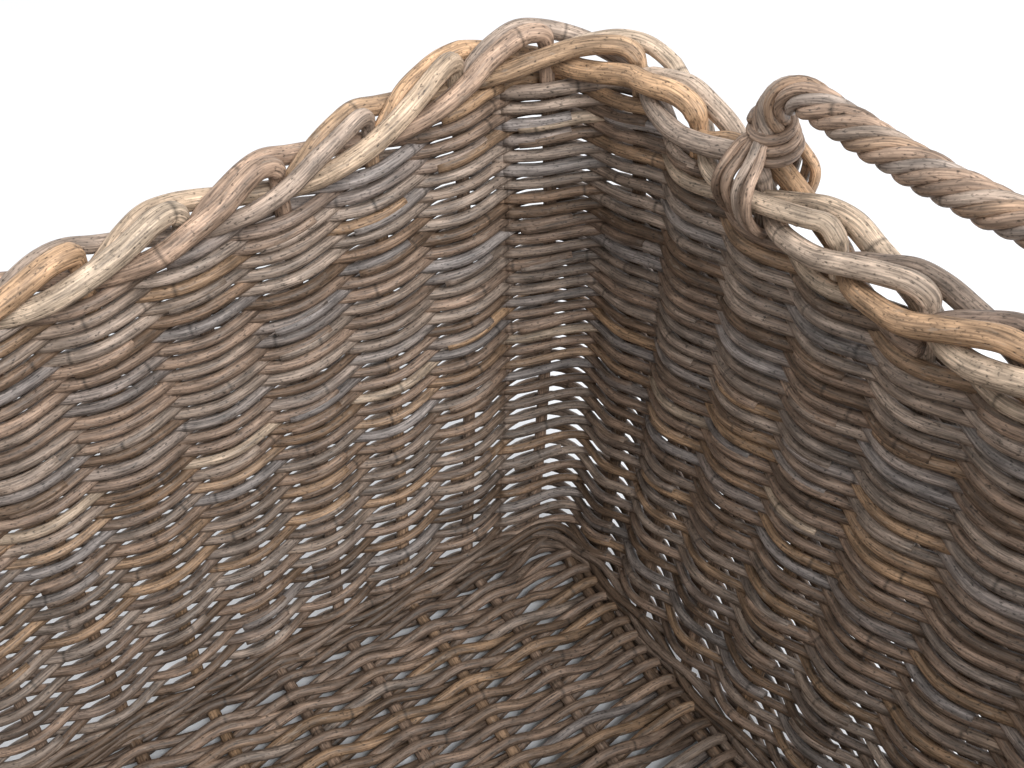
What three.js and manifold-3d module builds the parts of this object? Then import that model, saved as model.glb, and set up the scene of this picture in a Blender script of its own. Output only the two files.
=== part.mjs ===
// Wicker log basket: a rectangular basket of grey-brown rattan with rounded corners,
// upright stakes, a woven wall and base, a braided border and two roped end handles.
// Millimetres, +Z up, X along the long sides, origin at the middle of the underside.
import * as THREE from 'three';
import { mergeVertices } from 'three/addons/utils/BufferGeometryUtils.js';
import Module from 'manifold-3d';

const wasm = await Module();
wasm.setup();

// Driving dimensions
const halfLength = 290; // centre of the basket to the line of the end stakes, at the base
const halfWidth = 222; // centre of the basket to the line of the side stakes, at the base
const cornerRadius = 56; // of the stake line
const cornerShift = 10; // of each corner stake, along the line, from mid corner to the long side
const wallThickness = 18;
const wallHeight = 304; // top of the weave at the corners and ends
const baseThickness = 16;
const stakeRadius = 3.5;
const ribCount = 12; // rods that cross the base and turn up both long sides
const endStakeCount = 9; // stakes in each short end
const borderRadius = 15; // of the rolled border above the weave
const handlePitches = 4; // stake pitches between the feet of one handle
const handleRise = 32; // top of the border to the middle of the rope
const ropeRadius = 7.5;
const coreRadius = 3.2; // of the cane inside the rope
const footLength = 26; // of the binding over the border at each handle foot
const footDepth = 30; // of the binding, down from the top of the border
const footThickness = 6;
const handleBend = 21; // radius of the two bends of a handle
const clearance = 0.3; // between neighbouring pieces
const footClearance = 0.7; // under a binding, where the border curves away from it
const channelClearance = 0.5; // around a rod in its channel

// The walls lean and belly outwards, the long sides bow out and the ends are drawn in, all
// four sides dip in the middle, and the corners are squarer at the foot than at the top.
const endFlare = 30;
const sideFlare = 10;
const belly = 22;
const sideBow = 2;
const endPinch = 10;
const sideDip = 38;
const endDip = 22;
const squareness = 4;

const rodSides = 6;
const wallSteps = 4;
const sideSteps = 8;
const cornerSteps = 5;
const borderSides = 8;
const ropeSides = 10;
const straightLength = halfLength - cornerRadius;
const straightWidth = halfWidth - cornerRadius;
const cornerArc = (Math.PI / 2) * cornerRadius;
const ribPitch = (2 * straightLength + cornerArc - 2 * cornerShift) / (ribCount + 1);
const stakePitch = (2 * straightWidth + cornerArc + 2 * cornerShift) / (endStakeCount + 1);
const handleSpan = handlePitches * stakePitch;
const channelRadius = stakeRadius + channelClearance;
const stakeTop = wallHeight - 1;
const stakeFoot = 1.5;
const wallFoot = baseThickness + clearance;
const overrun = 4; // of a cutting tool past the face it opens
const octagonFlat = Math.cos(Math.PI / borderSides);
const borderFoot = wallHeight + clearance;
const borderMiddle = borderFoot + borderRadius * octagonFlat;
const borderTop = borderMiddle + borderRadius * octagonFlat;

const X = new THREE.Vector3(1, 0, 0);
const Z = new THREE.Vector3(0, 0, 1);

function material(color, roughness) {
  return new THREE.MeshStandardMaterial({ color, roughness, metalness: 0 });
}
const weaveMaterial = material(0x6f6154, 0.8);
const baseMaterial = material(0x5f5043, 0.85);
const stakeMaterial = material(0x4d4036, 0.85);
const borderMaterial = material(0x94816b, 0.7);
const handleMaterial = material(0x85725f, 0.65);

// How far a point in a corner, measured from the corner's centre, moves out as the arc there
// turns into a squarer curve
function squared(u, v, t) {
  if (u <= 0 || v <= 0) return [0, 0];
  const power = 2 + squareness * (1 - t) ** 2;
  const grow = Math.hypot(u, v) / (u ** power + v ** power) ** (1 / power) - 1;
  return [u * grow, v * grow];
}

// Every piece is laid out upright over the base outline, then shaped by this one rule,
// so that neighbours stay neighbours.
function shaped(geometry) {
  const place = geometry.attributes.position;
  for (let i = 0; i < place.count; i++) {
    const [x, y, z] = [place.getX(i), place.getY(i), place.getZ(i)];
    const t = Math.min(1, Math.max(0, z / wallHeight));
    const bulge = belly * 4 * t * (1 - t);
    const alongX = Math.min(1, Math.abs(x) / straightLength);
    const alongY = Math.min(1, Math.abs(y) / straightWidth);
    const outX = endFlare * t + bulge - endPinch * (1 - alongY ** 2);
    const outY = sideFlare * t + bulge + sideBow * (1 - alongX ** 2);
    const drop = sideDip * (1 - alongX ** 2) + endDip * (1 - alongY ** 2);
    const square = squared(Math.abs(x) - straightLength, Math.abs(y) - straightWidth, t);
    place.setXYZ(
      i,
      (x + Math.sign(x) * square[0]) * (1 + outX / halfLength),
      (y + Math.sign(y) * square[1]) * (1 + outY / halfWidth),
      z - drop * t * t,
    );
  }
  return geometry;
}

// Sweeps a closed outline, given as [across, sideways] pairs, through points that lie in one
// plane; across is that plane's normal. A second outline inside the first leaves a bore.
function sweep(points, across, outlines, { ends = [], laddered = false } = {}) {
  const position = [];
  const index = [];
  const last = points.length - 1;
  const sides = outlines[0].length;
  const stride = outlines.length * sides;
  points.forEach((point, k) => {
    const arrive = point.clone().sub(points[Math.max(0, k - 1)]).normalize();
    const leave = points[Math.min(last, k + 1)].clone().sub(point).normalize();
    const forward = arrive.clone().add(leave).normalize();
    if (k === 0 && ends[0]) forward.copy(ends[0]);
    if (k === last && ends[1]) forward.copy(ends[1]);
    const miter = k > 0 && k < last ? 1 / Math.max(0.5, forward.dot(leave)) : 1;
    const normal = across.clone().cross(forward).normalize();
    for (const outline of outlines) {
      for (const [u, v] of outline) {
        const corner = point.clone().addScaledVector(across, u);
        corner.addScaledVector(normal, v * miter);
        position.push(corner.x, corner.y, corner.z);
      }
    }
  });
  for (let k = 0; k < last; k++) {
    outlines.forEach((_, ring) => {
      for (let s = 0; s < sides; s++) {
        const n = (s + 1) % sides;
        const a = k * stride + ring * sides;
        const b = a + stride;
        const quad = [a + s, a + n, b + n, a + s, b + n, b + s];
        index.push(...(ring === 0 ? quad.reverse() : quad));
      }
    });
  }
  const [rim, ...bores] = outlines.map((outline) => outline.map(([u, v]) => new THREE.Vector2(u, v)));
  for (const face of laddered ? ladder(sides) : THREE.ShapeUtils.triangulateShape(rim, bores)) {
    index.push(...face);
    index.push(...face.map((corner) => corner + last * stride).reverse());
  }
  const geometry = new THREE.BufferGeometry();
  geometry.setAttribute('position', new THREE.Float32BufferAttribute(position, 3));
  geometry.setIndex(index);
  return geometry;
}

// End faces of a tall outline, in steps from bottom to top that follow its curved sides
function ladder(count) {
  return Array.from({ length: count / 2 - 1 }, (_, i) => [
    [i, i + 1, count - 2 - i],
    [i, count - 2 - i, count - 1 - i],
  ]).flat();
}

function round(radius, sides, turn = 0) {
  return Array.from({ length: sides }, (_, s) => {
    const angle = turn + (2 * Math.PI * s) / sides;
    return [radius * Math.cos(angle), radius * Math.sin(angle)];
  });
}

function rod(points, across, radius) {
  return sweep(points, across, [round(radius, rodSides)]);
}

function toSolid(geometry) {
  const bare = geometry.clone();
  bare.deleteAttribute('normal');
  bare.deleteAttribute('uv');
  const merged = mergeVertices(bare, 1e-4);
  return new wasm.Manifold(new wasm.Mesh({
    numProp: 3,
    vertProperties: new Float32Array(merged.attributes.position.array),
    triVerts: new Uint32Array(merged.index.array),
  }));
}

function toGeometry(solid) {
  const mesh = solid.getMesh();
  const geometry = new THREE.BufferGeometry();
  geometry.setAttribute('position', new THREE.BufferAttribute(mesh.vertProperties, 3));
  geometry.setIndex(new THREE.BufferAttribute(mesh.triVerts, 1));
  return geometry;
}

function cut(geometry, tools) {
  return toGeometry(tools.reduce((solid, tool) => solid.subtract(toSolid(tool)), toSolid(geometry)));
}

function evenly(count, pitch) {
  return Array.from({ length: count }, (_, i) => (i - (count - 1) / 2) * pitch);
}

const ribPlaces = evenly(ribCount, ribPitch);
const endPlaces = evenly(endStakeCount, stakePitch);
// A place on the stake line of a short end; the outermost stakes stand in the corners
function endPlace(along) {
  const past = Math.max(0, Math.abs(along) - straightWidth) / cornerRadius;
  const reach = Math.min(Math.abs(along), straightWidth) + cornerRadius * Math.sin(past);
  return [straightLength + cornerRadius * Math.cos(past), Math.sign(along) * reach];
}
const cornerAngle = Math.PI / 4 + cornerShift / cornerRadius;
const cornerPlace = [
  straightLength + cornerRadius * Math.cos(cornerAngle),
  straightWidth + cornerRadius * Math.sin(cornerAngle),
];

const basket = new THREE.Group();
function add(name, geometry, look, tools = []) {
  const whole = shaped(geometry);
  const finished = tools.length > 0 ? cut(whole, tools.map(shaped)) : whole;
  const mesh = new THREE.Mesh(finished, look);
  mesh.geometry.computeVertexNormals();
  mesh.name = name;
  basket.add(mesh);
}

// Transverse rods: up one long side, across the base and up the other, in one cane
function ribPath(x, top) {
  const bend = baseThickness / 2;
  const up = [];
  for (let i = 0; i <= wallSteps; i++) {
    const z = THREE.MathUtils.lerp(top, wallFoot, i / wallSteps);
    up.push(new THREE.Vector3(x, halfWidth, z));
  }
  for (const angle of [30, 60, 90]) {
    const a = THREE.MathUtils.degToRad(angle);
    const y = halfWidth - bend * (1 - Math.cos(a));
    up.push(new THREE.Vector3(x, y, baseThickness - bend * Math.sin(a)));
  }
  const down = up.map((p) => new THREE.Vector3(p.x, -p.y, p.z)).reverse();
  return [...up, ...down];
}
ribPlaces.forEach((x, i) => {
  const name = `cross_rod_${String(i + 1).padStart(2, '0')}`;
  add(name, rod(ribPath(x, stakeTop), X, stakeRadius), stakeMaterial);
});

// End and corner stakes
const stakeLevels = [stakeFoot];
for (let i = 0; i <= wallSteps; i++) {
  stakeLevels.push(THREE.MathUtils.lerp(wallFoot, stakeTop, i / wallSteps));
}
function upright(x, y, levels, radius) {
  return rod(levels.map((z) => new THREE.Vector3(x, y, z)), X, radius);
}
function stake(x, y) {
  return upright(x, y, stakeLevels, stakeRadius);
}
// The hole a stake stands in: the same bends, carried out through both faces
function channel(x, y) {
  return upright(x, y, [-overrun, ...stakeLevels, wallHeight + overrun], channelRadius);
}
for (const [side, sign] of [['left', -1], ['right', 1]]) {
  endPlaces.forEach((along, i) => {
    const [x, y] = endPlace(along);
    add(`${side}_end_stake_${i + 1}`, stake(sign * x, y), stakeMaterial);
  });
}
const corners = [];
for (const [depthName, sy] of [['front', -1], ['back', 1]]) {
  for (const [sideName, sx] of [['left', -1], ['right', 1]]) {
    corners.push({ name: `${depthName}_${sideName}`, sx, sy });
  }
}
for (const { name, sx, sy } of corners) {
  add(`corner_stake_${name}`, stake(sx * cornerPlace[0], sy * cornerPlace[1]), stakeMaterial);
}

// Woven walls: four sides and four corners, with a channel for each stake
function wallSection() {
  const half = wallThickness / 2;
  const levels = Array.from({ length: wallSteps + 1 }, (_, i) => (
    THREE.MathUtils.lerp(wallFoot, wallHeight, i / wallSteps)));
  return [...levels.map((z) => [z, -half]), ...levels.reverse().map((z) => [z, half])];
}
// One side's line of points, and the rule that carries it from the front to its own side
const sides = [
  { name: 'front', turn: 0, away: halfWidth, reach: straightLength, handled: false },
  { name: 'right', turn: 1, away: halfLength, reach: straightWidth, handled: true },
  { name: 'back', turn: 2, away: halfWidth, reach: straightLength, handled: false },
  { name: 'left', turn: 3, away: halfLength, reach: straightWidth, handled: true },
];
function sideLine({ turn, away, reach }, height) {
  const end = reach - clearance / 2;
  return Array.from({ length: sideSteps + 1 }, (_, i) => {
    const point = new THREE.Vector3(THREE.MathUtils.lerp(-end, end, i / sideSteps), -away, height);
    return point.applyAxisAngle(Z, (turn * Math.PI) / 2);
  });
}
function cornerLine({ sx, sy }, height) {
  const gap = clearance / 2;
  const points = Array.from({ length: cornerSteps + 1 }, (_, i) => {
    const a = (Math.PI / 2) * (i / cornerSteps);
    const x = Math.max(gap, cornerRadius * Math.cos(a));
    const y = Math.max(gap, cornerRadius * Math.sin(a));
    return new THREE.Vector3(sx * (straightLength + x), sy * (straightWidth + y), height);
  });
  return points;
}
function alongCorner(corner, height, section, laddered) {
  const ends = [new THREE.Vector3(0, corner.sy, 0), new THREE.Vector3(-corner.sx, 0, 0)];
  return sweep(cornerLine(corner, height), Z, [section], { ends, laddered });
}
for (const side of sides) {
  const places = side.handled ? endPlaces : ribPlaces;
  const channels = places.filter((place) => Math.abs(place) < side.reach).map((place) => {
    const at = new THREE.Vector3(place, -side.away, 0).applyAxisAngle(Z, (side.turn * Math.PI) / 2);
    return channel(at.x, at.y);
  });
  const wall = sweep(sideLine(side, 0), Z, [wallSection()], { laddered: true });
  add(`woven_wall_${side.name}`, wall, weaveMaterial, channels);
}
for (const corner of corners) {
  const tools = [cornerPlace, endPlace(endPlaces[endStakeCount - 1])].map(([x, y]) => (
    channel(corner.sx * x, corner.sy * y)));
  const weave = alongCorner(corner, 0, wallSection(), true);
  add(`woven_corner_${corner.name}`, weave, weaveMaterial, tools);
}

// Woven base with a channel for each transverse rod and a socket for each stake
function baseOutline() {
  const r = cornerRadius + wallThickness / 2;
  const points = [];
  [[1, 1], [-1, 1], [-1, -1], [1, -1]].forEach(([sx, sy], quadrant) => {
    for (let i = 0; i <= cornerSteps; i++) {
      const a = ((quadrant + i / cornerSteps) * Math.PI) / 2;
      const x = sx * straightLength + r * Math.cos(a);
      points.push(new THREE.Vector2(x, sy * straightWidth + r * Math.sin(a)));
    }
    const end = points[points.length - 1];
    const far = quadrant % 2 === 0 ? [-end.x, end.y] : [end.x, -end.y];
    for (let i = 1; i < sideSteps; i++) {
      points.push(end.clone().lerp(new THREE.Vector2(...far), i / sideSteps));
    }
  });
  return new THREE.Shape(points);
}
const ribChannels = ribPlaces.map((x) => (
  rod(ribPath(x, stakeTop).slice(wallSteps - 1, 1 - wallSteps), X, channelRadius)));
const sockets = [-1, 1].flatMap((sx) => [
  ...endPlaces.map(endPlace).map(([x, y]) => channel(sx * x, y)),
  ...[-1, 1].map((sy) => channel(sx * cornerPlace[0], sy * cornerPlace[1])),
]);
const slab = new THREE.ExtrudeGeometry(baseOutline(), { depth: baseThickness, bevelEnabled: false });
add('woven_base', slab, baseMaterial, [...ribChannels, ...sockets]);

// Rolled border above the weave, in four sides and four corners
const borderSection = round(borderRadius, borderSides, Math.PI / borderSides);
function legPath(sign, foot) {
  const top = borderTop + footThickness + overrun;
  return [foot, top].map((z) => new THREE.Vector3(0, (sign * handleSpan) / 2, z));
}
const boreRadius = coreRadius + channelClearance;
for (const side of sides) {
  const bores = (side.handled ? [-1, 1] : []).map((sign) => (
    rod(legPath(sign, borderFoot), X, boreRadius).translate((2 - side.turn) * halfLength, 0, 0)));
  const roll = sweep(sideLine(side, borderMiddle), Z, [borderSection]);
  add(`border_${side.name}`, roll, borderMaterial, bores);
}
for (const corner of corners) {
  const roll = alongCorner(corner, borderMiddle, borderSection, false);
  add(`border_corner_${corner.name}`, roll, borderMaterial);
}

// Handles: a bent cane core, the twisted rope around it and a binding at each foot
function handlePath(low) {
  const half = handleSpan / 2;
  const top = borderTop + handleRise;
  const leg = [new THREE.Vector3(0, half, low)];
  leg.push(new THREE.Vector3(0, half, borderTop + footThickness + overrun));
  for (const angle of [0, 22.5, 45, 67.5, 90]) {
    const a = THREE.MathUtils.degToRad(angle);
    const y = half - handleBend * (1 - Math.cos(a));
    leg.push(new THREE.Vector3(0, y, top - handleBend * (1 - Math.sin(a))));
  }
  const other = leg.map((p) => new THREE.Vector3(0, -p.y, p.z)).reverse();
  return [...leg, ...other];
}
function footBinding(sx, sy) {
  const gap = borderRadius + footClearance;
  const outer = gap + footThickness;
  const under = borderTop + footClearance;
  const foot = borderTop - footDepth;
  const over = under + footThickness;
  const section = [[foot, -outer], [under, -outer], [over, -gap], [over, gap], [under, outer],
    [foot, outer], [foot, gap], [under, gap], [under, -gap], [foot, -gap]];
  const line = [-1, 1].map((end) => (
    new THREE.Vector3(sx * halfLength, (sy * handleSpan + end * footLength) / 2, 0)));
  return sweep(line, Z, [section]);
}
const ropeFoot = borderTop + footClearance + footThickness + clearance;
const ropeOutlines = [round(ropeRadius, ropeSides), round(boreRadius, ropeSides)];
for (const [name, sx] of [['left', -1], ['right', 1]]) {
  const place = (geometry) => geometry.translate(sx * halfLength, 0, 0);
  const core = rod(handlePath(borderFoot + clearance), X, coreRadius);
  add(`${name}_handle_core`, place(core), handleMaterial);
  const rope = sweep(handlePath(ropeFoot), X, ropeOutlines);
  add(`${name}_handle_rope`, place(rope), handleMaterial);
  for (const [footName, sy] of [['front', -1], ['back', 1]]) {
    const bore = place(rod(legPath(sy, borderTop - overrun), X, boreRadius));
    add(`${name}_handle_${footName}_foot`, footBinding(sx, sy), handleMaterial, [bore]);
  }
}

export default basket;
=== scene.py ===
"""A wicker log basket, strand by strand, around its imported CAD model.

Lengths in the basket's own layout are millimetres; meshes are made in metres.
A place on the wall is (s, depth, height): s counts stakes counter-clockwise from the front
left corner stake, depth is outwards from the line of stakes, height is up from the floor.
"""

import math

import bpy
import numpy as np
from mathutils import Matrix, Vector


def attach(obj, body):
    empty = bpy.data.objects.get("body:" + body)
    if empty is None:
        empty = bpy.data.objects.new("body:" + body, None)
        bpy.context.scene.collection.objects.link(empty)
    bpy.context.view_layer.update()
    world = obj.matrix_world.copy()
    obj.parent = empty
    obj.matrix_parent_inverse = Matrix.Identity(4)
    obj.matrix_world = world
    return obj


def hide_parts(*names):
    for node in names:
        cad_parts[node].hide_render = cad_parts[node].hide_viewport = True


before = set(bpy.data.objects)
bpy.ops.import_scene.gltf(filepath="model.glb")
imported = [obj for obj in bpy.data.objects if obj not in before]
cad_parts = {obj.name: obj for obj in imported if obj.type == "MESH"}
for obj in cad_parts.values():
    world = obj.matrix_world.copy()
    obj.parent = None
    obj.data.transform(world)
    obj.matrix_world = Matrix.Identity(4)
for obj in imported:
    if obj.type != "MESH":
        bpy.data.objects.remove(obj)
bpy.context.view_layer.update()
rng = np.random.default_rng(20)

# The layout that the CAD model is drawn over
HALF_LENGTH, HALF_WIDTH, CORNER_RADIUS, CORNER_SHIFT = 290.0, 222.0, 56.0, 10.0
WALL_HEIGHT, BASE_THICKNESS = 304.0, 16.0
END_FLARE, SIDE_FLARE, BELLY, SIDE_BOW, END_PINCH = 30.0, 10.0, 22.0, 2.0, 10.0
SIDE_DIP, END_DIP, SQUARENESS = 38.0, 22.0, 4.0
LONG_STAKES, END_STAKES = 12, 9
STAKE_RADIUS = 3.5
BORDER_TOP = 332.0
HANDLE_RISE, HANDLE_BEND, HANDLE_PITCHES = 32.0, 21.0, 4

STRAIGHT_LENGTH = HALF_LENGTH - CORNER_RADIUS
STRAIGHT_WIDTH = HALF_WIDTH - CORNER_RADIUS
CORNER_ARC = CORNER_RADIUS * math.pi / 2
LONG_RUN = 2 * STRAIGHT_LENGTH + CORNER_ARC
SHORT_RUN = 2 * STRAIGHT_WIDTH + CORNER_ARC
RIB_PITCH = (LONG_RUN - 2 * CORNER_SHIFT) / (LONG_STAKES + 1)
STAKE_PITCH = (SHORT_RUN + 2 * CORNER_SHIFT) / (END_STAKES + 1)
CORNER_AT = np.cumsum([0, LONG_STAKES + 1, END_STAKES + 1, LONG_STAKES + 1, END_STAKES + 1])
STAKES = int(CORNER_AT[-1])


def perimeter_table():
    """The stake line as points with outward normals, and the distance to each."""
    points, normals = [], []
    corners = [(-1, -1, 225, 270), (1, -1, 270, 360), (1, 1, 0, 90), (-1, 1, 90, 180), (-1, -1, 180, 225)]
    for sx, sy, start, end in corners:
        for angle in np.radians(np.linspace(start, end, 60)):
            out = np.array([math.cos(angle), math.sin(angle)])
            points.append(np.array([sx * STRAIGHT_LENGTH, sy * STRAIGHT_WIDTH]) + CORNER_RADIUS * out)
            normals.append(out)
    points, normals = np.array(points), np.array(normals)
    distance = np.r_[0, np.cumsum(np.linalg.norm(np.diff(points, axis=0), axis=1))]
    return points, normals, distance


LINE, NORMALS, DISTANCE = perimeter_table()
RUNS = np.cumsum([0, LONG_RUN, SHORT_RUN, LONG_RUN, SHORT_RUN]) * DISTANCE[-1] / (2 * (LONG_RUN + SHORT_RUN))
RUNS += CORNER_SHIFT * np.array([1, -1, 1, -1, 1])


def shaped(points):
    """The CAD model's shape rule: flare, belly, bow, pinch, dip and squarer corners at the foot."""
    x, y, z = points.T
    t = np.clip(z / WALL_HEIGHT, 0, 1)
    bulge = BELLY * 4 * t * (1 - t)
    along_x = np.minimum(1, np.abs(x) / STRAIGHT_LENGTH)
    along_y = np.minimum(1, np.abs(y) / STRAIGHT_WIDTH)
    u = np.maximum(np.abs(x) - STRAIGHT_LENGTH, 1e-6)
    v = np.maximum(np.abs(y) - STRAIGHT_WIDTH, 1e-6)
    power = 2 + SQUARENESS * (1 - t) ** 2
    grow = np.hypot(u, v) / (u ** power + v ** power) ** (1 / power) - 1
    x = x + np.sign(x) * u * grow
    y = y + np.sign(y) * v * grow
    x = x * (1 + (END_FLARE * t + bulge - END_PINCH * (1 - along_y ** 2)) / HALF_LENGTH)
    y = y * (1 + (SIDE_FLARE * t + bulge + SIDE_BOW * (1 - along_x ** 2)) / HALF_WIDTH)
    drop = SIDE_DIP * (1 - along_x ** 2) + END_DIP * (1 - along_y ** 2)
    return np.c_[x, y, z - drop * t * t]


def on_line(s):
    distance = np.mod(np.interp(np.mod(s, STAKES), CORNER_AT, RUNS), DISTANCE[-1])
    return [np.interp(distance, DISTANCE, values) for values in (*LINE.T, *NORMALS.T)]


def place(s, depth, height):
    """Shaped points at stakes s, depth outwards and layout height up."""
    x, y, nx, ny = on_line(s)
    return shaped(np.c_[x + nx * depth, y + ny * depth, np.broadcast_to(height, x.shape)])


def dip_at(s):
    x, y = on_line(s)[:2]
    return (SIDE_DIP * (1 - np.minimum(1, np.abs(x) / STRAIGHT_LENGTH) ** 2)
            + END_DIP * (1 - np.minimum(1, np.abs(y) / STRAIGHT_WIDTH) ** 2))


def to_corner(s):
    """How many stakes away the nearest corner stake is."""
    return np.abs(np.mod(s[:, None] - CORNER_AT[None] + STAKES / 2, STAKES) - STAKES / 2).min(axis=1)


def level(s, height):
    """The layout height that the shape rule brings to a true height."""
    dip = np.maximum(dip_at(s), 1e-6)
    inside = np.maximum(WALL_HEIGHT ** 2 - 4 * dip * height, 0)
    return WALL_HEIGHT * (WALL_HEIGHT - np.sqrt(inside)) / (2 * dip)


# Colours of the weathered cane (linear), and how often each is met
TAUPE, GREY, BLUE_GREY = (0.272, 0.188, 0.136), (0.298, 0.232, 0.186), (0.250, 0.218, 0.202)
TAN, BROWN, PALE = (0.345, 0.220, 0.130), (0.165, 0.106, 0.068), (0.500, 0.390, 0.290)
SHADES = np.array([TAUPE, GREY, BLUE_GREY, TAN, BROWN, PALE])
WALL_MIX = [0.44, 0.24, 0.09, 0.11, 0.10, 0.02]
BASE_MIX = [0.46, 0.08, 0.03, 0.20, 0.23, 0.00]
STAKE_MIX = [0.35, 0.05, 0.00, 0.15, 0.45, 0.00]
BORDER_MIX = [0.28, 0.26, 0.06, 0.20, 0.00, 0.20]
HANDLE_MIX = [0.55, 0.28, 0.02, 0.15, 0.00, 0.00]


# light multiplies the tint: below 1 it paints shade into the colour, above 1 it paints light; the random
# factor is the canes' own tone
def pick_tint(mix, light=1.0):
    shade = SHADES[rng.choice(len(SHADES), p=mix)]
    other = SHADES[rng.choice(len(SHADES), p=mix)]
    blend = rng.uniform(0, 0.35)
    return (shade * (1 - blend) + other * blend) * rng.uniform(0.80, 1.22) * light


class Bundle:
    """Gathers tubes of cane and makes one mesh of them."""

    def __init__(self):
        self.places, self.canes, self.tints, self.quads, self.caps, self.count = [], [], [], [], [], 0

    def tube(self, path, radius, tint, sides=8, run=None, keep=None):
        """path is (n, 3) in mm. keep = (first, last) keeps part of it, with ends where it was cut."""
        path = np.asarray(path, float)
        radius = np.broadcast_to(np.asarray(radius, float), (len(path),))
        tangent = np.gradient(path, axis=0)
        tangent /= np.linalg.norm(tangent, axis=1)[:, None]
        side = np.cross(tangent, [0.0, 0.0, 1.0])
        weak = np.linalg.norm(side, axis=1) < 0.15
        if weak.any():
            side = transported(tangent)
        side /= np.linalg.norm(side, axis=1)[:, None]
        up = np.cross(side, tangent)
        length = np.r_[0, np.cumsum(np.linalg.norm(np.diff(path, axis=0), axis=1))]
        start = rng.uniform(0, 5000) if run is None else run
        angle = 2 * math.pi * np.arange(sides) / sides
        ring = np.cos(angle)[None, :, None] * side[:, None] + np.sin(angle)[None, :, None] * up[:, None]
        rings = path[:, None] + ring * radius[:, None, None]
        cane = np.empty(rings.shape)
        cane[..., 0] = np.cos(angle)[None] * radius[:, None]
        cane[..., 1] = np.sin(angle)[None] * radius[:, None]
        cane[..., 2] = (length + start)[:, None]
        tints = np.broadcast_to(np.asarray(tint, float), (len(path), 3))
        first, last = keep or (0, len(path) - 1)
        if last - first < 2:
            return
        rings, cane, tints = rings[first:last + 1], cane[first:last + 1], tints[first:last + 1]
        n = len(rings)
        index = np.arange(n * sides).reshape(n, sides) + self.count
        after = np.roll(index, -1, axis=1)
        quads = np.stack([index[:-1], after[:-1], after[1:], index[1:]], axis=-1).reshape(-1, 4)
        total = n * sides
        middles = rings[[0, -1]].mean(axis=1)
        self.places += [rings.reshape(-1, 3), middles]
        self.canes += [cane.reshape(-1, 3), np.c_[0, 0, cane[0, 0, 2]], np.c_[0, 0, cane[-1, 0, 2]]]
        self.tints += [np.repeat(tints, sides, axis=0), tints[[0, -1]]]
        self.quads.append(quads[:, ::-1])
        self.caps.append(np.stack([index[0], after[0], np.full(sides, self.count + total)], axis=-1))
        self.caps.append(np.stack([after[-1], index[-1], np.full(sides, self.count + total + 1)], axis=-1))
        self.count += total + 2

    def make(self, name, material, slot, nodes):
        mesh = bpy.data.meshes.new(name)
        places = np.concatenate(self.places) / 1000
        quads, caps = np.concatenate(self.quads), np.concatenate(self.caps)
        mesh.vertices.add(len(places))
        mesh.vertices.foreach_set("co", places.astype(np.float32).ravel())
        loops = np.concatenate([quads.ravel(), caps.ravel()]).astype(np.int32)
        starts = np.r_[np.arange(len(quads)) * 4, len(quads) * 4 + np.arange(len(caps)) * 3]
        mesh.loops.add(len(loops))
        mesh.loops.foreach_set("vertex_index", loops)
        mesh.polygons.add(len(starts))
        mesh.polygons.foreach_set("loop_start", starts.astype(np.int32))
        mesh.update(calc_edges=True)
        mesh.polygons.foreach_set("use_smooth", np.ones(len(starts), bool))
        cane = mesh.attributes.new("cane", "FLOAT_VECTOR", "POINT")
        cane.data.foreach_set("vector", np.concatenate(self.canes).astype(np.float32).ravel())
        tint = mesh.attributes.new("tint", "FLOAT_COLOR", "POINT")
        colour = np.c_[np.concatenate(self.tints), np.ones(len(places))]
        tint.data.foreach_set("color", colour.astype(np.float32).ravel())
        mesh.validate()
        piece = bpy.data.objects.new(name, mesh)
        bpy.context.scene.collection.objects.link(piece)
        piece.data.materials.append(material)
        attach(piece, "root")
        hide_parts(*nodes)


def transported(tangent):
    """Side vectors that turn with the path as little as they can."""
    side = np.empty_like(tangent)
    first = np.cross(tangent[0], [0.3, 0.9, 0.2])
    side[0] = first / np.linalg.norm(first)
    for i in range(1, len(tangent)):
        flat = side[i - 1] - tangent[i] * (side[i - 1] @ tangent[i])
        side[i] = flat / np.linalg.norm(flat)
    return side


def smooth(keys, steps):
    """A Catmull-Rom curve through rows of keys, steps points for each gap."""
    keys = np.asarray(keys, float)
    ends = np.vstack([2 * keys[0] - keys[1], keys, 2 * keys[-1] - keys[-2]])
    out = []
    for i in range(len(keys) - 1):
        a, b, c, d = ends[i:i + 4]
        t = np.arange(steps)[:, None] / steps
        out.append(0.5 * (2 * b + (c - a) * t + (2 * a - 5 * b + 4 * c - d) * t ** 2
                          + (3 * b - a - 3 * c + d) * t ** 3))
    return np.vstack([*out, keys[-1:]])


def wander(count, size, steps):
    """A slow random curve, count long, that changes about every steps points."""
    keys = rng.normal(0, size, count // steps + 3)
    return np.interp(np.arange(count) / steps, np.arange(len(keys)), keys)


# Material

NODE_RING_PITCH = 149  # mm of cane from one ring to the next


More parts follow.
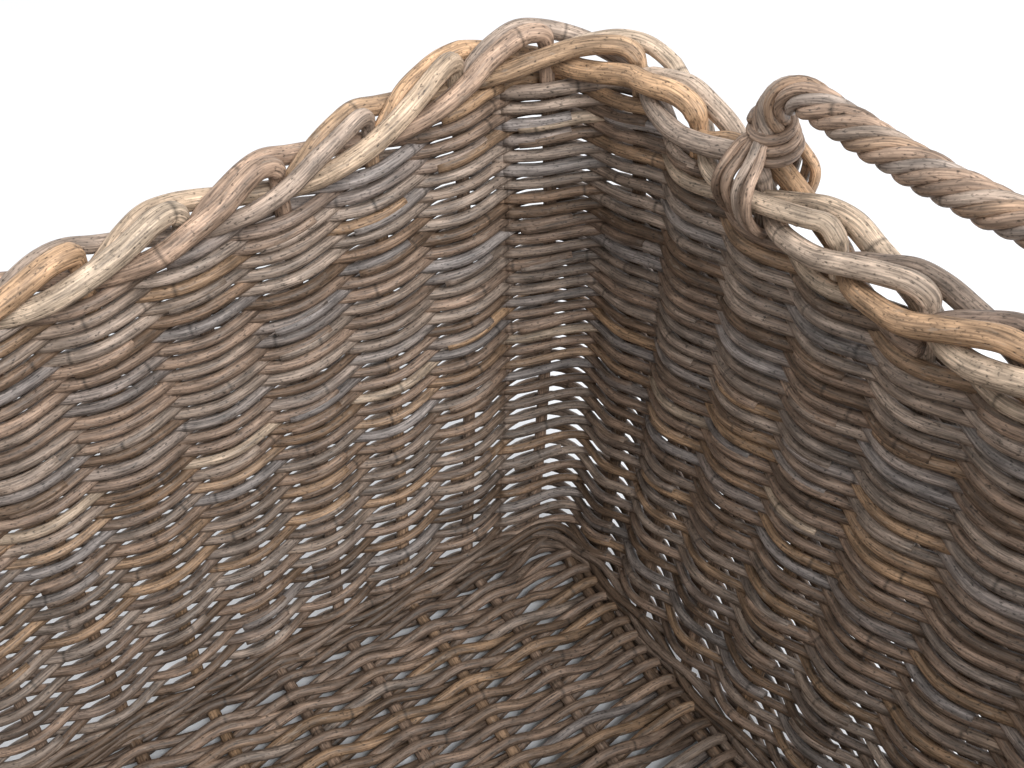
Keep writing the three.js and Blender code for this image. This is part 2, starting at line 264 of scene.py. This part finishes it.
def cane_material(name, roughness=0.52, gloss=0.45):
    material = bpy.data.materials.new(name)
    material.use_nodes = True
    tree = material.node_tree
    nodes, links = tree.nodes, tree.links
    shader = nodes["Principled BSDF"]

    def node(kind, **settings):
        made = nodes.new(kind)
        for key, value in settings.items():
            setattr(made, key, value)
        return made

    def math_node(operation, a, b=None):
        made = node("ShaderNodeMath", operation=operation)
        for socket, value in zip(made.inputs, (a, b)):
            if isinstance(value, (int, float)):
                socket.default_value = value
            elif value is not None:
                links.new(value, socket)
        return made.outputs[0]

    def noise(vector, scale, detail=3.0):
        made = node("ShaderNodeTexNoise")
        made.inputs["Scale"].default_value = scale
        made.inputs["Detail"].default_value = detail
        links.new(vector, made.inputs["Vector"])
        return made.outputs["Fac"]

    def ramp(value, stops):
        made = node("ShaderNodeValToRGB")
        made.color_ramp.elements[0].position = stops[0][0]
        made.color_ramp.elements[1].position = stops[-1][0]
        for position, _ in stops[1:-1]:
            made.color_ramp.elements.new(position)
        for element, (_, grey) in zip(made.color_ramp.elements, stops):
            element.color = (grey, grey, grey, 1)
        links.new(value, made.inputs["Fac"])
        return made.outputs["Color"]

    def multiply(a, b, amount=1.0):
        made = node("ShaderNodeMix", data_type="RGBA", blend_type="MULTIPLY")
        made.inputs["Factor"].default_value = amount
        links.new(a, made.inputs["A"])
        links.new(b, made.inputs["B"])
        return made.outputs["Result"]

    cane = node("ShaderNodeAttribute", attribute_name="cane").outputs["Vector"]
    tint = node("ShaderNodeAttribute", attribute_name="tint").outputs["Color"]

    def stretched(along):
        made = node("ShaderNodeVectorMath", operation="MULTIPLY")
        made.inputs[1].default_value = (1, 1, along)
        links.new(cane, made.inputs[0])
        return made.outputs["Vector"]

    fibre = noise(stretched(0.06), 1.3, 4.0)
    patch = noise(stretched(0.30), 0.22, 2.0)
    speck = noise(stretched(0.55), 0.95, 5.0)
    bark = noise(stretched(0.25), 0.55, 5.0)
    separate = node("ShaderNodeSeparateXYZ")
    links.new(cane, separate.inputs[0])
    along = separate.outputs["Z"]
    joint = math_node("FRACT", math_node("MULTIPLY", along, 1 / NODE_RING_PITCH))
    ring = math_node("ABSOLUTE", math_node("SUBTRACT", joint, 0.5))
    ring_line = ramp(ring, [(0.0, 0.42), (0.004, 0.70), (0.010, 1.18), (0.02, 1.0)])

    colour = multiply(tint, ramp(fibre, [(0.32, 0.48), (0.50, 1.0), (0.68, 1.55)]))
    colour = multiply(colour, ramp(patch, [(0.32, 0.66), (0.52, 1.0), (0.68, 1.34)]))
    colour = multiply(colour, ramp(speck, [(0.30, 0.22), (0.39, 0.78), (0.46, 1.0)]))
    colour = multiply(colour, ring_line)
    peel = node("ShaderNodeMix", data_type="RGBA")
    links.new(colour, peel.inputs["A"])
    peel.inputs["B"].default_value = (0.36, 0.30, 0.245, 1)
    faded = math_node("MULTIPLY", ramp(bark, [(0.62, 0.0), (0.68, 1.0)]), 0.35)
    links.new(faded, peel.inputs["Factor"])
    links.new(peel.outputs["Result"], shader.inputs["Base Color"])
    rough = math_node("ADD", math_node("MULTIPLY", patch, 0.3), roughness - 0.15)
    links.new(rough, shader.inputs["Roughness"])
    shader.inputs["Specular IOR Level"].default_value = gloss
    relief = math_node("ADD", math_node("MULTIPLY", fibre, 0.6), math_node("MULTIPLY", speck, 0.4))
    bump = node("ShaderNodeBump")
    bump.inputs["Strength"].default_value = 0.85
    bump.inputs["Distance"].default_value = 0.0006
    links.new(relief, bump.inputs["Height"])
    links.new(bump.outputs["Normal"], shader.inputs["Normal"])
    return material


weave_look = cane_material("weathered_cane")
base_look = cane_material("brown_cane_painted_shade", 0.54, 0.45)
stake_look = cane_material("stake_cane", 0.7, 0.25)
border_look = cane_material("pale_cane_painted_light", 0.55, 0.4)
handle_look = cane_material("twisted_cane", 0.52, 0.45)

# Woven walls: two canes twined around the stakes in every row
ROW_COUNT, FOOT_OF_ROWS = 34, 9.0
STEPS = 12  # points for each stake pitch
OUT_AND_IN = 6.2
CORNER_SAG, CORNER_SAG_TOP = 5, 115
ROW_RADIUS_AT, ROW_RADIUS = [20, 110, 240, 300], [2.6, 2.75, 3.05, 3.35]
PANELS = {}
for i, (panel_name, start) in enumerate(zip(("front", "right", "back", "left"), CORNER_AT[:-1])):
    inset = (0.5, 1.5)[i % 2]
    PANELS[f"woven_wall_{panel_name}"] = (start + inset, CORNER_AT[i + 1] - inset)
for i, panel_name in enumerate(("front_left", "front_right", "back_right", "back_left")):
    before, past = ((1.5, 0.5), (0.5, 1.5))[i % 2]
    PANELS[f"woven_corner_{panel_name}"] = (CORNER_AT[i] - before, CORNER_AT[i] + past)
bundles = {name: Bundle() for name in PANELS}


def drift(s, row):
    """How far hand work lets a row stray from level, nearly the same for rows side by side."""
    turn = 2 * math.pi * s / STAKES
    return (0.9 * np.sin(3 * turn + 0.11 * row) + 0.7 * np.sin(7 * turn - 0.07 * row + 1)
            + 0.4 * np.sin(13 * turn + 0.23 * row + 2))


def row_height(row):
    """Rows are a little closer together half way up than at the foot and the top."""
    u = (row + 0.5) / ROW_COUNT
    return FOOT_OF_ROWS + (WALL_HEIGHT - FOOT_OF_ROWS) * (u + 0.012 * math.sin(2 * math.pi * u))


def corner_sag(s, height):
    """Rows lie closer together low in the corners."""
    low = math.sin(math.pi * min(1, height / CORNER_SAG_TOP))
    return -CORNER_SAG * np.exp(-(to_corner(s) / 1.5) ** 2) * low


def twined(row, strand, start, stop, tint):
    """One cane of a row from s = start to s = stop, cut into the panels it crosses."""
    grid = np.arange(math.ceil(start * STEPS), math.floor(stop * STEPS) + 1) / STEPS
    if len(grid) < 8:
        return
    middle = row_height(row)
    pitch = row_height(row + 0.5) - row_height(row - 0.5)
    height = middle + drift(grid, row) + corner_sag(grid, middle)
    phase = math.pi * (grid - strand)
    radius = np.interp(middle, ROW_RADIUS_AT, ROW_RADIUS)
    radius = radius * rng.uniform(0.88, 1.12) * (1 + wander(len(grid), 0.03, 9))
    swing = OUT_AND_IN * (1 + wander(len(grid), 0.05, STEPS))
    depth = -swing * np.cos(phase)
    lift = -pitch / 4 * np.sin(phase) + wander(len(grid), 0.3, STEPS)
    from_start, from_stop = grid - start, stop - grid
    near = lambda gap: np.clip(1 - gap / 0.7, 0, 1)
    lift = lift + 1.6 * near(from_start) - 1.6 * near(from_stop)
    depth = depth - 1.0 * near(from_stop) * np.sign(np.cos(phase))
    radius = radius * (1 - 0.14 * np.maximum(near(from_start), near(from_stop)))
    under = height + lift < WALL_HEIGHT - dip_at(grid) - 1
    path = place(grid, depth, level(grid, height + lift))
    run = rng.uniform(0, 5000)
    shade = np.asarray(tint)[None] * (1 + wander(len(grid), 0.06, 2 * STEPS))[:, None]
    for name, (low, high) in PANELS.items():
        for turn in (-STAKES, 0, STAKES):
            inside = (grid >= low + turn - 1e-6) & (grid <= high + turn + 1e-6) & under
            for first, last in spans(inside):
                bundles[name].tube(path, radius, shade, run=run, keep=(first, last))


def spans(flags):
    """First and last index of each unbroken stretch of true flags."""
    edges = np.flatnonzero(np.diff(np.r_[0, flags.astype(int), 0]))
    return [(a, b - 1) for a, b in zip(edges[::2], edges[1::2])]


for row in range(ROW_COUNT):
    # Painted shade: lower rows get a darker tint, 0.62 at the foot up to 0.98 at the top, for the dimmer
    # light low in the basket
    painted_row_shade = 0.62 + 0.36 * row / ROW_COUNT
    for strand in (0, 1):
        at = rng.uniform(0, 8)
        first_break = at
        while at < first_break + STAKES:
            reach = rng.choice([6, 8, 10, 12, 14])
            stop = min(at + reach, first_break + STAKES)
            stop = strand + 2 * round((stop - strand) / 2)
            begin = strand + 2 * round((at - strand) / 2)
            if stop > begin:
                twined(row, strand, begin - 0.30, stop + 0.38, pick_tint(WALL_MIX, painted_row_shade))
            at += reach
for name in PANELS:
    bundles[name].make(name + "_rows", weave_look, "weave", [name])

# Base: canes twined across the transverse rods, close straight canes along the long walls,
# and three twisted foot rows that cover the joint between base and walls
BASE_MIDDLE, BASE_PITCH, BASE_SWING = 8.8, 11.2, 4.4
CLOSE_PITCH = 5.6
BASE_WEAVE, CLOSE_WEAVE = 1.9, 0.6  # how far a cane strays sideways between rods
base = Bundle()
rib_places = (np.arange(LONG_STAKES) - (LONG_STAKES - 1) / 2) * RIB_PITCH
rods = np.r_[-HALF_LENGTH + 16, rib_places, HALF_LENGTH - 16]
for x in (rods[0], rods[-1]):
    y = np.linspace(-HALF_WIDTH + 27, HALF_WIDTH - 27, 60)
    path = shaped(np.c_[np.full(60, x), y, np.full(60, BASE_MIDDLE)])
    base.tube(path, 3.4, pick_tint(STAKE_MIX))


def base_cane(y, strand, weave, tint, radius):
    """One cane across all the rods, kept where it is inside the rounded corners of the base."""
    grid = np.arange(-0.30 * STEPS, (len(rods) - 1 + 0.30) * STEPS + 1) / STEPS
    phase = math.pi * (grid - strand)
    past = grid - np.clip(grid, 0, len(rods) - 1)
    x = np.interp(grid, np.arange(len(rods)), rods) + past * 36
    swing = BASE_SWING * 0.92 * (np.cos(phase) + np.cos(3 * phase) / 9)
    z = BASE_MIDDLE - swing * (1 + wander(len(grid), 0.04, STEPS))
    stray = wander(len(grid), 0.6, 2 * STEPS) + 0.6 * np.sin(grid * 0.5 + y * 0.03)
    across = y + weave * np.sin(phase) + stray
    across = np.clip(across, -HALF_WIDTH + 5, HALF_WIDTH - 5)
    shade = tint[None] * (1 + wander(len(grid), 0.10, 2 * STEPS))[:, None]
    radii = radius * (1 + wander(len(grid), 0.04, 9))
    past_straight = np.clip(np.abs(across) - STRAIGHT_WIDTH, 0, CORNER_RADIUS - 7)
    inside = np.abs(x) < STRAIGHT_LENGTH + np.sqrt((CORNER_RADIUS - 6) ** 2 - past_straight ** 2)
    base.tube(shaped(np.c_[x, across, z])[inside], radii[inside], shade[inside])


close_rows = 4
open_edge = HALF_WIDTH - 11 - close_rows * CLOSE_PITCH
base_rows = np.linspace(-open_edge, open_edge, round(2 * open_edge / BASE_PITCH) + 1)
for y in base_rows:
    for strand in (0, 1):
        # The 0.66 paints shade into the base canes' own browner colour: the floor of the basket lies in the
        # walls' shadow
        base_cane(y, strand, BASE_WEAVE, pick_tint(BASE_MIX, 0.66), 2.85 * rng.uniform(0.88, 1.1))
for side in (-1, 1):
    for k in range(close_rows):
        y = side * (HALF_WIDTH - 10 - k * CLOSE_PITCH)
        # The 0.55 paints deeper shade into the close canes along the walls
        base_cane(y, k % 2, CLOSE_WEAVE, pick_tint(BASE_MIX, 0.55), 2.75 * rng.uniform(0.92, 1.08))
for turn_row, (depth, height) in enumerate(((-7.8, 6.0), (-8.6, 12.0), (-8.0, 17.5))):
    for strand in (0, 1):
        at = np.arange(0, STAKES * STEPS + 1) / STEPS
        twist = math.pi * (at - strand) + turn_row
        path = place(at, depth + 2.3 * np.cos(twist), height + 2.3 * np.sin(twist))
        # The 0.5 paints the deepest shade into the foot rows, in the crease between base and walls
        shade = pick_tint(BASE_MIX, 0.5)[None] * (1 + wander(len(at), 0.12, 3 * STEPS))[:, None]
        base.tube(path, 2.5 * (1 + wander(len(at), 0.03, 9)), shade)
base.make("woven_base_rows", base_look, "base", ["woven_base"])

# Rods and stakes
def bend_rod(x):
    """The U of one transverse rod, in layout millimetres."""
    bend = 8.0
    heights = np.linspace(WALL_HEIGHT - 2, BASE_THICKNESS, 30)
    up = np.c_[np.full(30, HALF_WIDTH), heights]
    angles = np.radians(np.linspace(12, 90, 8))
    turn = np.c_[HALF_WIDTH - bend * (1 - np.cos(angles)), BASE_THICKNESS - bend * np.sin(angles)]
    across = np.linspace(HALF_WIDTH - bend, -HALF_WIDTH + bend, 40)[1:-1]
    flat = np.c_[across, np.full(38, BASE_THICKNESS - bend)]
    half = np.vstack([up, turn])
    other = half[::-1] * [-1, 1]
    return np.c_[np.full(2 * len(half) + 38, x), np.vstack([half, flat, other])]


for i, x in enumerate(rib_places):
    rod = Bundle()
    path = shaped(bend_rod(x))
    # The 0.8 paints shade into the rod's colour, for the shade it lies in under and between the rows
    rod.tube(path, STAKE_RADIUS * (1 + wander(len(path), 0.02, 8)), pick_tint(STAKE_MIX, 0.8), sides=10)
    rod.make(f"cross_rod_{i + 1:02d}_cane", stake_look, "stakes", [f"cross_rod_{i + 1:02d}"])


def stand_stake(s, node):
    stake = Bundle()
    heights = np.linspace(2, WALL_HEIGHT - 2, 36)
    path = place(np.full(36, float(s)), 0.0, heights)
    # The 0.8 paints shade into the stake's colour, for the shade it stands in between the rows
    stake.tube(path, STAKE_RADIUS * (1 + wander(36, 0.02, 8)), pick_tint(STAKE_MIX, 0.8), sides=10)
    stake.make(node + "_cane", stake_look, "stakes", [node])


for i in range(END_STAKES):
    stand_stake(CORNER_AT[1] + 1 + i, f"right_end_stake_{i + 1}")
    stand_stake(CORNER_AT[4] - 1 - i, f"left_end_stake_{i + 1}")
for name, s in zip(("front_left", "front_right", "back_right", "back_left"), CORNER_AT[:-1]):
    stand_stake(s, f"corner_stake_{name}")

# Border: every stake's thick cane bends over its knee, runs down inside the next stake,
# goes out under the next stroke, climbs the outside and comes back over the top
BORDER_KEYS = [
    (0.00, 0.0, -16), (0.00, 0.0, 2), (0.00, -0.6, 11),
    (0.03, -2.0, 17), (0.12, -4.0, 20.4), (0.30, -6.2, 20.0),
    (0.65, -9.6, 15.6), (1.00, -11.3, 11.4), (1.35, -10.6, 7.8), (1.65, -6.0, 4.8), (1.90, 0.5, 3.4),
    (2.15, 6.2, 4.0), (2.45, 8.6, 8.0), (2.78, 8.8, 13.2), (3.05, 7.0, 17.4), (3.30, 4.2, 18.8),
    (3.55, 1.6, 16.0), (3.76, -1.2, 11.5), (3.90, -3.0, 8.0),
]
BORDER_CANE, BORDER_CORNER_RISE = 4.7, 4
BORDER_PIECES = {}
for i, side in enumerate(("front", "right", "back", "left")):
    BORDER_PIECES[f"border_{side}"] = (CORNER_AT[i] + 0.5, CORNER_AT[i + 1] - 0.5)
for side, corner in zip(("front_left", "front_right", "back_right", "back_left"), CORNER_AT[:-1]):
    BORDER_PIECES[f"border_corner_{side}"] = (corner - 0.5, corner + 0.5)
border = {name: Bundle() for name in BORDER_PIECES}
for n in range(STAKES):
    keys = np.array(BORDER_KEYS)
    keys[3:, 1:] += rng.normal(0, 0.4, (len(keys) - 3, 2))
    curve = smooth(keys, 7)
    s = n + curve[:, 0]
    corner_rise = BORDER_CORNER_RISE * np.exp(-(to_corner(s) / 0.9) ** 2)
    path = place(s, curve[:, 1], WALL_HEIGHT + curve[:, 2] + corner_rise)
    radius = BORDER_CANE * rng.uniform(0.86, 1.12) * (1 + wander(len(path), 0.02, 12))
    radius = radius * np.interp(curve[:, 0], [0, 0.02, 3.2, 3.9], [0.8, 1, 1, 0.9])
    # The 1.12 paints light into the border canes' own paler colour: the top of the basket is more lit than
    # the walls
    tint = pick_tint(BORDER_MIX, 1.12)
    for name, (low, high) in BORDER_PIECES.items():
        middle = (n + 0.6) % STAKES
        if low <= middle < high or low <= middle - STAKES < high or low <= middle + STAKES < high:
            border[name].tube(path, radius, tint, sides=12)
            break
for name, bundle in border.items():
    bundle.make(name + "_canes", border_look, "border", [name])

# Handles
HANDLE_SPAN = HANDLE_PITCHES * STAKE_PITCH
ROPE_STRANDS, ROPE_LAY, ROPE_PLACE, ROPE_CANE = 6, 50.0, 4.9, 2.5
# The strands that splay over the border at a foot: where they lie along it, and for each one
# the way it takes as (outwards, share of its splay, up from the top of the border)
SPLAYS = (-9, -3.5, 2.5, 8)
SPLAY_KEYS = [(2, 0.3, 16), (5, 0.4, 9), (10.5, 0.7, 2), (16.5, 1, -7),
              (17, 1.1, -15), (13, 1.1, -25), (7, 1.0, -31)]
COIL_TURNS, COIL_SIZE, COIL_SPREAD, COIL_PITCH, COIL_CANE = 3.4, 7.2, 2.6, 4.3, 2.35


def handle_line(steps_per_mm=0.5):
    """The middle of the rope as (y, z), from the front foot to the back foot."""
    half, top = HANDLE_SPAN / 2, BORDER_TOP + HANDLE_RISE
    points = [(half, BORDER_TOP - 2)]
    for angle in np.radians(np.linspace(0, 90, 24)):
        points.append((half - HANDLE_BEND * (1 - math.cos(angle)), top - HANDLE_BEND * (1 - math.sin(angle))))
    points = np.array(points)
    whole = np.vstack([points * [-1, 1], points[::-1]])
    length = np.r_[0, np.cumsum(np.linalg.norm(np.diff(whole, axis=0), axis=1))]
    at = np.linspace(0, length[-1], int(length[-1] * steps_per_mm))
    return np.c_[np.interp(at, length, whole[:, 0]), np.interp(at, length, whole[:, 1])], at


for name, sign in (("left", -1), ("right", 1)):
    line, at = handle_line()
    tangent = np.gradient(line, axis=0)
    tangent /= np.linalg.norm(tangent, axis=1)[:, None]
    core = Bundle()
    middle = np.c_[np.full(len(line), sign * HALF_LENGTH), line]
    # The 0.7 paints shade into the core, which lies inside the rope
    core.tube(shaped(middle), 3.1, pick_tint(HANDLE_MIX, 0.7))
    core.make(f"{name}_handle_core_cane", handle_look, "handles", [f"{name}_handle_core"])
    rope = Bundle()
    for strand in range(ROPE_STRANDS):
        turn = 2 * math.pi * (strand / ROPE_STRANDS + at / ROPE_LAY)
        out = ROPE_PLACE + wander(len(at), 0.15, 20)
        across = out * np.cos(turn)
        normal = np.c_[-tangent[:, 1], tangent[:, 0]] * (out * np.sin(turn))[:, None]
        path = np.c_[sign * HALF_LENGTH + across, line + normal]
        rope.tube(shaped(path), ROPE_CANE * rng.uniform(0.92, 1.06), pick_tint(HANDLE_MIX), sides=10)
    rope.make(f"{name}_handle_rope_canes", handle_look, "handles", [f"{name}_handle_rope"])
    for foot, end in (("front", -1), ("back", 1)):
        binding = Bundle()
        y = end * HANDLE_SPAN / 2
        for spread in SPLAYS:
            for side in (-1, 1):
                keys = [(side * out, y + spread * fan, up) for out, fan, up in SPLAY_KEYS]
                keys = np.array(keys)
                keys[1:, 1:] += rng.normal(0, 0.7, (6, 2))
                places = np.c_[sign * HALF_LENGTH + keys[:, 0], keys[:, 1], BORDER_TOP + keys[:, 2]]
                path = smooth(places, 8)
                binding.tube(shaped(path), ROPE_CANE * rng.uniform(0.85, 1.05), pick_tint(HANDLE_MIX))
        turns = np.linspace(0, COIL_TURNS, 120)
        low = 1 - turns / COIL_TURNS
        angle = 2 * math.pi * turns
        coil = COIL_SIZE + COIL_SPREAD * low
        path = np.c_[sign * (HALF_LENGTH + 2.4 * low) + coil * np.cos(angle),
                     y - end * 1.5 * low + coil * np.sin(angle),
                     BORDER_TOP - 1 + COIL_PITCH * turns + 1.6 * np.cos(angle)]
        # The 1.1 paints light into the coil's colour, high on the border where the light falls
        binding.tube(shaped(path), COIL_CANE, pick_tint(HANDLE_MIX, 1.1))
        node = f"{name}_handle_{foot}_foot"
        binding.make(node + "_canes", handle_look, "handles", [node])

# Floor, light and camera
floor_mesh = bpy.data.meshes.new("floor")
floor_mesh.from_pydata([(-6, -6, 0), (6, -6, 0), (6, 6, 0), (-6, 6, 0)], [], [(0, 1, 2, 3)])
floor = bpy.data.objects.new("floor", floor_mesh)
bpy.context.scene.collection.objects.link(floor)
floor_look = bpy.data.materials.new("floor")
floor_look.use_nodes = True
floor_look.node_tree.nodes["Principled BSDF"].inputs["Base Color"].default_value = (0.80, 0.82, 0.85, 1)
floor_look.node_tree.nodes["Principled BSDF"].inputs["Roughness"].default_value = 0.9
floor_mesh.materials.append(floor_look)

world = bpy.data.worlds.new("studio")
bpy.context.scene.world = world
world.use_nodes = True
world.node_tree.nodes["Background"].inputs["Color"].default_value = (1, 1, 1, 1)
world.node_tree.nodes["Background"].inputs["Strength"].default_value = 1.0


def area_light(name, place_at, look_at, size, power):
    data = bpy.data.lights.new(name, "AREA")
    data.size, data.energy = size, power
    light = bpy.data.objects.new(name, data)
    bpy.context.scene.collection.objects.link(light)
    light.location = place_at
    light.rotation_euler = (Vector(look_at) - Vector(place_at)).to_track_quat("-Z", "Y").to_euler()


area_light("key", (0.25, -1.7, 1.9), (0, 0, 0.2), 1.0, 62)

bpy.context.scene.view_settings.view_transform = "Standard"

camera_data = bpy.data.cameras.new("camera")
camera_data.lens, camera_data.sensor_width = 43.0, 36
camera_data.clip_end = 50
camera = bpy.data.objects.new("camera", camera_data)
bpy.context.scene.collection.objects.link(camera)
elevation, azimuth, roll = np.radians([38.9, 59.6, -3.05])
ahead = Vector((math.cos(elevation) * math.cos(azimuth),
                math.cos(elevation) * math.sin(azimuth), -math.sin(elevation)))
level_right = ahead.cross(Vector((0, 0, 1))).normalized()
level_up = level_right.cross(ahead)
right = level_right * math.cos(roll) + level_up * math.sin(roll)
up = right.cross(ahead)
turned = Matrix((right, up, -ahead)).transposed().to_4x4()
camera.matrix_world = Matrix.Translation((0.003, -0.226, 0.552)) @ turned
bpy.context.scene.camera = camera
